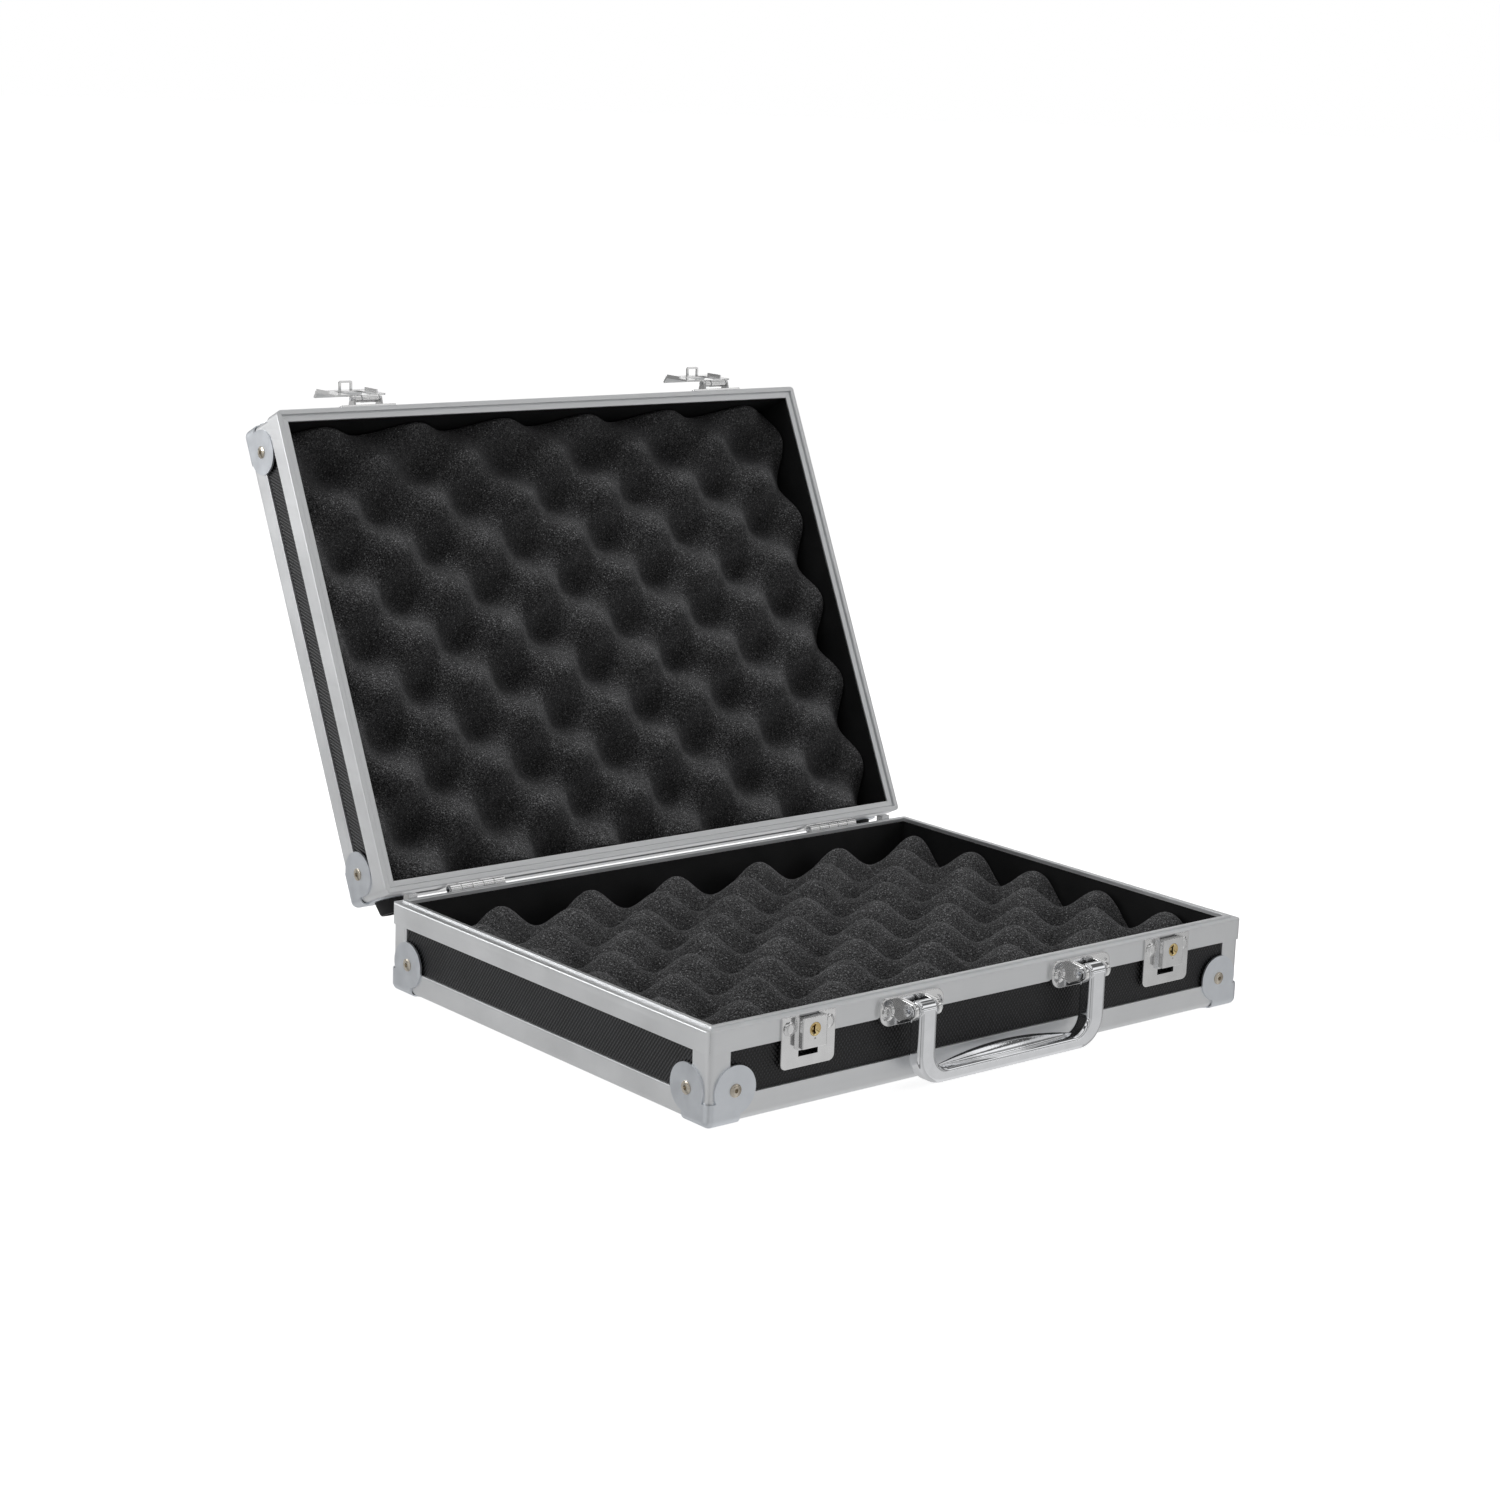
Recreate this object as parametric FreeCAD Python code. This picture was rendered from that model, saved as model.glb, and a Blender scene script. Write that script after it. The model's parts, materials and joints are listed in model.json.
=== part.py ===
"""Small aluminium-framed carry case, standing open.

Base and lid are trays of laminated panels held in aluminium extrusions, with steel corner caps, black
lining and a block of foam. Two knuckle hinges join them at the back. The front has a bail handle and two
key locks; the lid carries two hasps that swing down over the lock cases.

Millimetres, +X right along the front, +Y to the back, +Z up. Everything is first built with the case shut
and the middle of the base's footprint on the origin, then the lid is swung open and the whole model is
moved back by origin_y, which puts the origin under the middle of the open case.
"""
import FreeCAD, Part
import math
import os

V = FreeCAD.Vector

# ---- driving dimensions -------------------------------------------------------------------------------
width = 360.0            # over the rims, left to right
depth = 266.0            # over the rims, front to back
base_height = 47.3       # floor to the base rim's outer strip
lid_height = 39.0        # lid rim's outer strip to the lid's outermost face, caps included
parting_gap = 0.4        # between the two rims when shut
lid_open = 115.0         # degrees
origin_y = 67.75         # from the middle of the base to the middle of the open case

rim_leg = 11.4           # height of the rim's outer leg
rim_wall = 1.2
rim_width = 6.6          # across the rim's face
rim_proud = 0.7          # how far the rims stand out beyond the other extrusions
edge_leg = 12.9          # legs of the angle extrusion round the tray's floor
post_leg = 13.3          # legs of the corner posts
angle_wall = 1.2
corner_r = 3.2           # outer radius of the angle extrusions
rim_corner_r = 3.4       # outer radius of the rims' upright corners
mitre_gap = 0.03         # each side of a mitre

tongue_start = 4.2       # base rim: the raised tongue begins here, from the outer face
tongue_rise = 1.0
groove_start, groove_end = 2.9, 3.5   # lid rim: the groove that the outer strip ends in
recess_drop = 1.3        # lid rim: inner strip below the outer strip
groove_drop = 1.9
inner_leg = 6.0          # rim's hidden inner leg
inner_leg_out, inner_leg_in = 4.6, 5.4

panel_t = 2.7
lining_t = 1.2
foam_gap = 0.4
foam_top = 43.2          # base foam: level of its peaks above the floor
lid_foam_drop = 9.5      # lid foam: peaks below the lid rim's outer strip

cap_t = 1.0
cap_disc_r = 12.2
cap_along = 15.2         # lobe centre, along each edge from the corner of the extrusions
cap_up = {"base": 15.8, "lid": 14.2}   # centre of the upright lobes, from the floor extrusion's underside
cap_wrap_long = 18.5     # how far the cap wraps along each edge of the tray's floor
cap_wrap_high = 11.0     # and how high it wraps up the corner
cap_sunk_head = 0.6      # depth of the recess for the rivets under the base
cap_inner_r = 2.1        # rounding of the cap's edges, inside and outside
cap_outer_r = 3.9
rivet_head_r = 3.3
rivet_head_h = 0.8
rivet_edge = 0.35        # height of a rivet head's cylindrical edge
rivet_shank_r = 1.5
rivet_bore_r = 1.1

foot_r, foot_tip_r, foot_out = 8.5, 6.8, 7.5
foot_floor = 3.0         # rubber under the rivet head that holds a foot
foot_bore_r = 3.6

stop_x, stop_w, stop_out = 166.0, 5.5, 3.0
stop_low, stop_high = 8.0, 1.35  # below and above the hinge's axis
stop_step, stop_notch = 2.0, 0.9
stop_bore_r, stop_bore_low = 1.1, 4.6

hardware_x = 121.5       # middle of each lock and hasp, from the case's middle
hinge_x = 125.0          # middle of each hinge
hinge_y = depth / 2 + 2.9
hinge_z = base_height + parting_gap / 2
hinge_long = 35.0
knuckles = 5
knuckle_gap = 0.35
knuckle_r = 2.5
hinge_pin_r = 1.3
leaf_t = 1.1
leaf_high = 12.6
leaf_corner_r = 3.0
leaf_rivet_x, leaf_rivet_up = 11.5, 7.4
leaf_rivet_r, leaf_rivet_h = 2.4, 0.8
knuckle_web = 2.3        # height of the web between a leaf and its knuckles

handle_x = 57.5          # middle of each handle leg
handle_pivot_out = 10.5  # pivot in front of the rim face
handle_pivot_z = 40.6
handle_bottom = 2.5
leg_w = 11.0
leg_t = 9.2              # front to back, the same as the eyes
bar_h = 7.0              # height of the bar between the legs, without its swell
bend_outer_r, bend_inner_r = 16.0, 9.5
swell_half, swell_r, swell_end_r = 46.0, 5.4, 0.5
eye_r = leg_t / 2
eye_long = 11.4
ear_gap = 0.35           # between an eye and the bracket's ears
ear_t = 2.7
ear_r = 4.0
bracket_half, bracket_t = 20.5, 2.4
bracket_low, bracket_high = 31.9, 46.1
bracket_rivet_x = 15.6
dish_r, dish_depth = 4.2, 1.2    # hollow round each bracket rivet
pin_r = 2.0
pin_head_r, pin_head_h = 2.9, 0.9

lock_plate_w, lock_plate_top, lock_plate_bottom = 33.0, 46.8, 21.3
lock_plate_t = 1.0
lock_case_w, lock_case_top, lock_case_bottom = 15.0, 46.3, 31.3
lock_case_out = 5.6      # front face in front of the rim
case_flare = 0.9         # how much wider the lock case is at its foot, each side
plug_z = 40.4
plug_r = 3.4
slot_w, slot_top, slot_bottom = 12.0, 29.7, 26.7

hasp_pivot_out = 4.7     # pivot in front of the rim face
hasp_pivot_z = base_height + parting_gap + 2.3
hasp_swing = 154.4       # degrees between shut and fully back
hasp_w = 32.0
hasp_t = 1.0
hasp_inner = 2.7         # hasp plate's inner face in front of the rim when shut
barrel_r = 2.1
hasp_pin_r = 1.0

face = -depth / 2        # the front rim's outer face


# ---- helpers ------------------------------------------------------------------------------------------
def box(x0, x1, y0, y1, z0, z1):
    return Part.makeBox(x1 - x0, y1 - y0, z1 - z0, V(x0, y0, z0))


def rod(r, start, end):
    """A cylinder between two points."""
    along = end - start
    return Part.makeCylinder(r, along.Length, start, along)


def fuse(shapes):
    result = shapes[0]
    if len(shapes) > 1:
        result = result.fuse(shapes[1:])
    return result.removeSplitter()


def group(shapes):
    """Separate solids that share one node."""
    return Part.makeCompound([solid for shape in shapes for solid in shape.Solids])


def rounded_face(corners):
    """A planar face through (point, radius) corners, with an arc at each corner whose radius isn't zero."""
    edges, ends = [], []
    count = len(corners)
    for i, (point, radius) in enumerate(corners):
        before = (corners[i - 1][0] - point).normalize()
        after = (corners[(i + 1) % count][0] - point).normalize()
        if radius == 0:
            ends.append((point, point))
            continue
        half = before.getAngle(after) / 2
        start = point + before * (radius / math.tan(half))
        end = point + after * (radius / math.tan(half))
        middle = point + (before + after).normalize() * (radius / math.sin(half) - radius)
        ends.append((start, end))
        edges.append(Part.Arc(start, middle, end).toShape())
    for i in range(count):
        start, end = ends[i][1], ends[(i + 1) % count][0]
        if start.distanceToPoint(end) > 1e-6:
            edges.append(Part.LineSegment(start, end).toShape())
    return Part.Face(Part.Wire(Part.__sortEdges__(edges)))


def profile_along_x(corners, y_of, x0, x1):
    """Extrude a profile of (inward, z, radius) corners along X; y_of turns inward into Y."""
    points = [(V(x0, y_of(inward), z), r) for inward, z, r in corners]
    return rounded_face(points).extrude(V(x1 - x0, 0, 0))


def profile_along_y(corners, x_of, y0, y1):
    points = [(V(x_of(inward), y0, z), r) for inward, z, r in corners]
    return rounded_face(points).extrude(V(0, y1 - y0, 0))


def plate_xz(corners, y0, y1):
    """Extrude an outline of (x, z, radius) corners from y0 to y1."""
    return rounded_face([(V(x, y0, z), r) for x, z, r in corners]).extrude(V(0, y1 - y0, 0))


def plate_yz(corners, x0, x1):
    return rounded_face([(V(x0, y, z), r) for y, z, r in corners]).extrude(V(x1 - x0, 0, 0))


def fillet_where(shape, radius, test):
    """Round the edges whose middle point passes the test."""
    edges = [e for e in shape.Edges if test(e, e.valueAt((e.FirstParameter + e.LastParameter) / 2))]
    return shape.makeFillet(radius, edges) if edges else shape


def mirror_x(shape):
    return shape.mirror(V(0, 0, 0), V(1, 0, 0))


def dome_rivet(point, outward, length, head_r=rivet_head_r, head_h=rivet_head_h, bore=True):
    """A rivet with a low domed head on the surface at point, its shank going length inward."""
    edge = rivet_edge
    profile = [
        V(0, 0, -length), V(rivet_shank_r, 0, -length), V(rivet_shank_r, 0, 0), V(head_r, 0, 0),
        V(head_r, 0, edge),
    ]
    lines = [Part.LineSegment(a, b).toShape() for a, b in zip(profile, profile[1:])]
    crown, top = V(0, 0, head_h), V(head_r * 0.35, 0, head_h)
    shoulder = V(head_r * 0.76, 0, edge + (head_h - edge) * 0.72)
    lines.append(Part.Arc(V(head_r, 0, edge), shoulder, top).toShape())
    lines.append(Part.LineSegment(top, crown).toShape())
    lines.append(Part.LineSegment(crown, profile[0]).toShape())
    solid = Part.Face(Part.Wire(lines)).revolve(V(0, 0, 0), V(0, 0, 1), 360)
    if bore:
        solid = solid.cut(Part.makeCylinder(rivet_bore_r, head_h * 2, V(0, 0, -head_h * 0.6)))
    return place(solid, point, outward)


def place(shape, point, outward):
    """Turn a shape built along +Z to point outward and move its origin to point."""
    moved = shape.copy()
    moved.Placement = FreeCAD.Placement(point, FreeCAD.Rotation(V(0, 0, 1), outward))
    return moved


nodes = {}
lid_nodes = []
hasp_nodes = []


# ---- one tray of the case: base and lid are made alike ------------------------------------------------
def rim_profile(top, tongue):
    """Section of the rim, as (inward, z, radius)."""
    leg_end = top - rim_leg
    if tongue:
        under = top - rim_wall
        upper = [(0, top, 0.8), (tongue_start, top, 0), (tongue_start, top + tongue_rise, 0.3),
                 (rim_width, top + tongue_rise, 0.4)]
    else:
        under = top - recess_drop - rim_wall
        upper = [(0, top, 0.8), (groove_start, top, 0.4), (groove_start, top - groove_drop, 0),
                 (groove_end, top - groove_drop, 0), (groove_end, top - recess_drop, 0.2),
                 (rim_width, top - recess_drop, 0.4)]
    inner_end = under - inner_leg
    lower = [(rim_width, under, 0), (inner_leg_in, under, 0), (inner_leg_in, inner_end, 0),
             (inner_leg_out, inner_end, 0), (inner_leg_out, under, 0), (rim_wall, under, 0),
             (rim_wall, leg_end, 0), (0, leg_end, 0.25)]
    return upper + lower


def floor_edge_profile():
    inner = rim_proud + angle_wall
    low = cap_t
    return [(rim_proud, low, corner_r), (rim_proud + edge_leg, low, 0.3),
            (rim_proud + edge_leg, low + angle_wall, 0), (inner, low + angle_wall, 0),
            (inner, low + edge_leg, 0), (rim_proud, low + edge_leg, 0.25)]


def mitred(long_corners, low, high):
    """A prism that keeps one side's share of a mitred frame."""
    return rounded_face([(V(x, y, low), 0) for x, y in long_corners]).extrude(V(0, 0, high - low))


def four_sides(profile, reach, round_r, inset, low, high):
    """Front, back, left and right lengths of one extrusion, mitred at the corners."""
    w, d = width / 2 - inset, depth / 2 - inset
    envelope = fillet_where(box(-w, w, -d, d, low, high), round_r,
                            lambda e, m: abs(e.tangentAt(e.FirstParameter).z) > 0.9)
    g = mitre_gap * math.sqrt(2)
    run_x, run_y = width / 2, depth / 2
    straight = {
        "front": profile_along_x(profile, lambda u: -depth / 2 + u, -run_x, run_x),
        "back": profile_along_x(profile, lambda u: depth / 2 - u, -run_x, run_x),
        "left": profile_along_y(profile, lambda u: -width / 2 + u, -run_y, run_y),
        "right": profile_along_y(profile, lambda u: width / 2 - u, -run_y, run_y),
    }
    share = {
        "front": [(-run_x + g, -run_y), (run_x - g, -run_y), (run_x - g - reach, -run_y + reach),
                  (-run_x + g + reach, -run_y + reach)],
        "left": [(-run_x, -run_y + g), (-run_x + reach, -run_y + g + reach),
                 (-run_x + reach, run_y - g - reach), (-run_x, run_y - g)],
    }
    share["back"] = [(x, -y) for x, y in share["front"]]
    share["right"] = [(-x, y) for x, y in share["left"]]
    return {side: straight[side].common([mitred(share[side], low - 1, high + 1)]).common([envelope])
            for side in straight}


def corner_post(low, high):
    """Angle extrusion at the front left corner."""
    x, y = -width / 2 + rim_proud, -depth / 2 + rim_proud
    leg = post_leg - rim_proud
    outline = [(V(x, y, low), corner_r), (V(x + leg, y, low), 0.3), (V(x + leg, y + angle_wall, low), 0),
               (V(x + angle_wall, y + angle_wall, low), 0), (V(x + angle_wall, y + leg, low), 0),
               (V(x, y + leg, low), 0.3)]
    return rounded_face(outline).extrude(V(0, 0, high - low))


def corner_cap(up, sunk_floor_rivet):
    """Three-lobed cap at a corner, in the corner's own frame: the extrusion faces are x, y, z = 0."""
    size = 32.0

    def block(start, radius):
        solid = box(start, size, start, size, start, size)
        near = start + 0.01
        return fillet_where(solid, radius, lambda e, m: sum(c < near for c in (m.x, m.y, m.z)) == 2)

    shell = block(-cap_t, cap_outer_r).cut(block(0, cap_inner_r))
    deep = 4.0
    wrap_floor = box(-cap_t, cap_wrap_long, -cap_t, deep, -cap_t, cap_wrap_high)
    disc = Part.makeCylinder(cap_disc_r, deep, V(cap_along, -cap_t, up), V(0, 1, 0))
    front = disc.fuse(wrap_floor)
    side = front.mirror(V(0, 0, 0), V(1, -1, 0))
    under_disc = Part.makeCylinder(cap_disc_r, deep, V(cap_along, cap_along, -cap_t))
    under = under_disc.fuse(box(-cap_t, cap_wrap_long, -cap_t, cap_wrap_long, -cap_t, deep / 2))
    cap = shell.common([front.fuse([side, under])])
    c = cap_along
    holes = [rod(rivet_shank_r, V(c, -3, up), V(c, 3, up)), rod(rivet_shank_r, V(-3, c, up), V(3, c, up)),
             rod(rivet_shank_r, V(c, c, -3), V(c, c, 3))]
    if sunk_floor_rivet:
        holes.append(rod(rivet_head_r, V(c, c, -3), V(c, c, -cap_t + cap_sunk_head)))
    return cap.cut(holes)


def corner_rivets(up, sunk_floor_rivet):
    """Rivets of one cap, in the corner's frame, and the holes they need behind it.

    The first holds the front lobe, the second a back lobe with a foot on it; the rest are on every cap.
    """
    c = cap_along
    long = cap_t + angle_wall + panel_t - 0.2
    rivets = [dome_rivet(V(c, -cap_t, up), V(0, -1, 0), long),
              dome_rivet(V(c, -cap_t - foot_floor, up), V(0, -1, 0), long + foot_floor),
              dome_rivet(V(-cap_t, c, up), V(-1, 0, 0), long)]
    if sunk_floor_rivet:
        flat = rod(rivet_head_r, V(c, c, -cap_t + 0.1), V(c, c, -cap_t + cap_sunk_head))
        shank = rod(rivet_shank_r, V(c, c, -cap_t + cap_sunk_head), V(c, c, long - cap_t))
        rivets.append(fuse([flat, shank]))
    else:
        rivets.append(dome_rivet(V(c, c, -cap_t), V(0, 0, -1), long))
    reach = long - cap_t + 0.1
    holes = [rod(rivet_shank_r, V(c, -3, up), V(c, reach, up)),
             rod(rivet_shank_r, V(-3, c, up), V(reach, c, up)),
             rod(rivet_shank_r, V(c, c, -3), V(c, c, reach))]
    return rivets, holes


def at_front(shape):
    """Copies of a shape from the corner frame to the front two corners of the tray's floor."""
    moved = shape.translated(V(-width / 2 + rim_proud, -depth / 2 + rim_proud, cap_t))
    return [moved, mirror_x(moved)]


def at_back(shape):
    return [s.mirror(V(0, 0, 0), V(0, 1, 0)) for s in at_front(shape)]


def at_corners(shape):
    return at_front(shape) + at_back(shape)


def back_foot(up):
    """Rubber foot on a cap's lobe, in the corner frame."""
    start = V(cap_along, -cap_t, up)
    foot = Part.makeCone(foot_r, foot_tip_r, foot_out, start, V(0, -1, 0))
    foot = fillet_where(foot, 1.0, lambda e, m: m.y < -cap_t - foot_out + 0.1)
    bore = rod(foot_bore_r, start - V(0, foot_floor, 0), start - V(0, foot_out + 1, 0))
    return foot.cut([bore, rod(rivet_shank_r, start + V(0, 1, 0), start - V(0, foot_out, 0))])


def ring(outer_inset, inner_inset, z0, z1):
    w, d = width / 2, depth / 2
    outer = box(-w + outer_inset, w - outer_inset, -d + outer_inset, d - outer_inset, z0, z1)
    inner = box(-w + inner_inset, w - inner_inset, -d + inner_inset, d - inner_inset, z0 - 1, z1 + 1)
    return outer.cut(inner)


def tray(name, top, tongue, foam_level, sunk_floor_rivet, floor_name):
    """All pieces of one tray, standing on z = 0 with its mouth up at z = top."""
    pieces = {}
    rims = four_sides(rim_profile(top, tongue), 20, rim_corner_r, 0, top - rim_leg - 1, top + 3)
    for side, solid in rims.items():
        pieces[f"{name}_{side}_rim"] = solid
    edges = four_sides(floor_edge_profile(), 30, corner_r, rim_proud, cap_t, cap_t + edge_leg + 1)
    pieces[f"{name}_{floor_name}_edges"] = group(list(edges.values()))
    post = corner_post(cap_t + edge_leg, top - rim_leg)
    posts = [post, post.mirror(V(0, 0, 0), V(0, 1, 0))]
    pieces[f"{name}_corner_posts"] = group(posts + [mirror_x(p) for p in posts])

    skin = rim_proud + angle_wall
    floor_low = cap_t + angle_wall
    floor_high = floor_low + panel_t
    wall_top = top - rim_wall - (0 if tongue else recess_drop)
    w, d = width / 2, depth / 2
    inner = inner_leg_out
    panels = {
        "floor": box(-w + skin, w - skin, -d + skin, d - skin, floor_low, floor_high),
        "front": box(-w + skin, w - skin, -d + skin, -d + inner, floor_high, wall_top),
        "back": box(-w + skin, w - skin, d - inner, d - skin, floor_high, wall_top),
        "left": box(-w + skin, -w + inner, -d + inner, d - inner, floor_high, wall_top),
        "right": box(w - inner, w - skin, -d + inner, d - inner, floor_high, wall_top),
    }
    rivets, holes = corner_rivets(cap_up[name], sunk_floor_rivet)
    drills = [tool for hole in holes for tool in at_corners(hole)]
    for side, solid in panels.items():
        side_name = floor_name if side == "floor" else side
        pieces[f"{name}_{side_name}_panel"] = solid.cut(drills)
    pieces[f"{name}_{floor_name}_edges"] = pieces[f"{name}_{floor_name}_edges"].cut(drills)

    cap = corner_cap(cap_up[name], sunk_floor_rivet)
    pieces[f"{name}_corner_caps"] = group(at_corners(cap))
    front_rivet, foot_rivet, *others = rivets
    rivet_copies = at_front(front_rivet) + at_back(foot_rivet)
    pieces[f"{name}_cap_rivets"] = group(rivet_copies + [copy for r in others for copy in at_corners(r)])
    pieces[f"{name}_back_feet"] = group(at_back(back_foot(cap_up[name])))

    step = wall_top - inner_leg - 0.1
    pieces[f"{name}_lining"] = fuse([ring(inner_leg_out, rim_width, floor_high, step),
                                     ring(inner_leg_in, rim_width, step, wall_top)])
    side_gap = rim_width + foam_gap
    pieces[f"{name}_foam"] = box(-w + side_gap, w - side_gap, -d + side_gap, d - side_gap,
                                 floor_high, foam_level)
    return pieces


nodes.update(tray("base", base_height, True, foam_top, True, "bottom"))
lid_level = base_height + parting_gap + lid_height
for node, shape in tray("lid", lid_height, False, lid_height - lid_foam_drop, False, "top").items():
    flipped = shape.mirror(V(0, 0, 0), V(0, 0, 1))
    flipped.translate(V(0, 0, lid_level))
    nodes[node] = flipped
    lid_nodes.append(node)


# ---- hinges -------------------------------------------------------------------------------------------
def knuckle_spans(first):
    """X ranges of every second knuckle of a hinge centred on x = 0."""
    pitch = hinge_long / knuckles
    start = -hinge_long / 2 + knuckle_gap / 2
    return [(start + i * pitch, start + (i + 1) * pitch - knuckle_gap) for i in range(first, knuckles, 2)]


def hinge_leaf(first, sign, hole_r):
    """A leaf on the back face; sign is -1 for the base's, hanging down, and 1 for the lid's."""
    back = depth / 2
    start = hinge_z + sign * parting_gap / 2
    low, high = sorted((start, hinge_z + sign * leaf_high))
    half = hinge_long / 2
    near_z, far_z = (low, high) if sign > 0 else (high, low)
    corners = [(-half, near_z, 0), (half, near_z, 0),
               (half, far_z, leaf_corner_r), (-half, far_z, leaf_corner_r)]
    plate = plate_xz(corners, back, back + leaf_t)
    parts = [plate]
    for x0, x1 in knuckle_spans(first):
        parts.append(rod(knuckle_r, V(x0, hinge_y, hinge_z), V(x1, hinge_y, hinge_z)))
        z0, z1 = sorted((start, hinge_z + sign * knuckle_web))
        parts.append(box(x0, x1, back, hinge_y, z0, z1))
    leaf = fuse(parts)
    clear = knuckle_r + knuckle_gap
    other = [rod(clear, V(x0 - knuckle_gap, hinge_y, hinge_z), V(x1 + knuckle_gap, hinge_y, hinge_z))
             for x0, x1 in knuckle_spans(1 - first)]
    bore = rod(hole_r, V(-half - 1, hinge_y, hinge_z), V(half + 1, hinge_y, hinge_z))
    return leaf.cut(other + [bore] + leaf_rivet_holes(sign))


def leaf_rivet_points(sign):
    z = hinge_z + sign * leaf_rivet_up
    return [V(x, depth / 2 + leaf_t, z) for x in (-leaf_rivet_x, leaf_rivet_x)]


def leaf_rivet_holes(sign):
    return [rod(rivet_shank_r, p - V(0, 9, 0), p + V(0, 3, 0)) for p in leaf_rivet_points(sign)]


def both_sides(shape, x):
    """The shape at +x and its mirror image at -x."""
    right = shape.copy()
    right.translate(V(x, 0, 0))
    return [mirror_x(right), right]


running = 0.06
nodes["base_hinge_leaves"] = group(both_sides(hinge_leaf(0, -1, hinge_pin_r), hinge_x))
nodes["lid_hinge_leaves"] = group(both_sides(hinge_leaf(1, 1, hinge_pin_r + running), hinge_x))
pin_half = hinge_long / 2 + 0.3
nodes["hinge_pins"] = group(both_sides(
    rod(hinge_pin_r, V(-pin_half, hinge_y, hinge_z), V(pin_half, hinge_y, hinge_z)), hinge_x))
for owner, sign in (("base", -1), ("lid", 1)):
    rivets = [dome_rivet(p, V(0, 1, 0), leaf_t + inner_leg_out - 0.1, leaf_rivet_r, leaf_rivet_h)
              for p in leaf_rivet_points(sign)]
    nodes[f"{owner}_hinge_rivets"] = group([s for r in rivets for s in both_sides(r, hinge_x)])
    tools = [s for hole in leaf_rivet_holes(sign) for s in both_sides(hole, hinge_x)]
    for piece in (f"{owner}_back_rim", f"{owner}_back_panel"):
        nodes[piece] = nodes[piece].cut(tools)
lid_nodes += ["lid_hinge_leaves", "lid_hinge_rivets"]

# stops on the back of the base, near its corners, that the open lid leans on
stop_front, stop_back = hinge_y - stop_step, hinge_y + stop_out
stop_body = [(depth / 2, hinge_z - stop_low, 0), (stop_back, hinge_z - stop_low, 0.6),
             (stop_back, hinge_z + stop_high, 0.5), (stop_front, hinge_z + stop_high, 0.3),
             (stop_front, hinge_z - stop_notch, 0), (depth / 2, hinge_z - stop_notch, 0)]
stop = plate_yz(stop_body, -stop_w / 2, stop_w / 2)
bore_z = hinge_z - stop_bore_low
stop = stop.cut(rod(stop_bore_r, V(0, depth / 2 - 1, bore_z), V(0, stop_back + 1, bore_z)))
nodes["lid_stops"] = group(both_sides(stop, stop_x))


# ---- handle -------------------------------------------------------------------------------------------
pivot = V(0, face - handle_pivot_out, handle_pivot_z)
ear_in = eye_long / 2 + ear_gap
ear_out = ear_in + ear_t


def along_pivot(r, x0, x1):
    return rod(r, V(x0, pivot.y, pivot.z), V(x1, pivot.y, pivot.z))


def handle_bracket():
    """Flange on the rim with a dished hollow round each rivet, and two ears that hold the pin."""
    front = face - bracket_t
    outline = [(-bracket_half, bracket_low, 6.6), (bracket_half, bracket_low, 6.6),
               (bracket_half, bracket_high, 5.0), (-bracket_half, bracket_high, 5.0)]
    flange = plate_xz(outline, front, face)
    flange = fillet_where(flange, 0.5, lambda e, m: abs(m.y - front) < 0.01)
    parts = [flange]
    for sign in (-1, 1):
        x0, x1 = sorted((sign * ear_in, sign * ear_out))
        neck = plate_yz([(face - 1, bracket_low + 0.8, 0), (pivot.y, pivot.z - ear_r, 0),
                         (pivot.y, pivot.z + ear_r, 0), (face - 1, bracket_high - 0.6, 0)], x0, x1)
        ear = fillet_where(along_pivot(ear_r, x0, x1).fuse(neck).removeSplitter(), 0.7,
                           lambda e, m: m.y < front - 0.8 and abs(e.tangentAt(e.FirstParameter).x) < 0.5)
        parts.append(ear)
    tools = [along_pivot(pin_r, -bracket_half, bracket_half)]
    for x in (-bracket_rivet_x, bracket_rivet_x):
        tools.append(rod(rivet_shank_r, V(x, face - 5, bracket_rivet_z), V(x, face + 5, bracket_rivet_z)))
        dish_start = V(x, front, bracket_rivet_z)
        tools.append(Part.makeCone(dish_r, dish_r - 0.8, dish_depth, dish_start, V(0, 1, 0)))
    return fuse(parts).cut(tools)


def handle_pin():
    end = ear_out + pin_head_h
    heads = [along_pivot(pin_head_r, *sorted((sign * ear_out, sign * end))) for sign in (-1, 1)]
    bores = [along_pivot(1.2, *sorted((sign * (ear_out - 1.5), sign * (end + 1)))) for sign in (-1, 1)]
    return fuse([along_pivot(pin_r, -end, end)] + heads).cut(bores)


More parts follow.
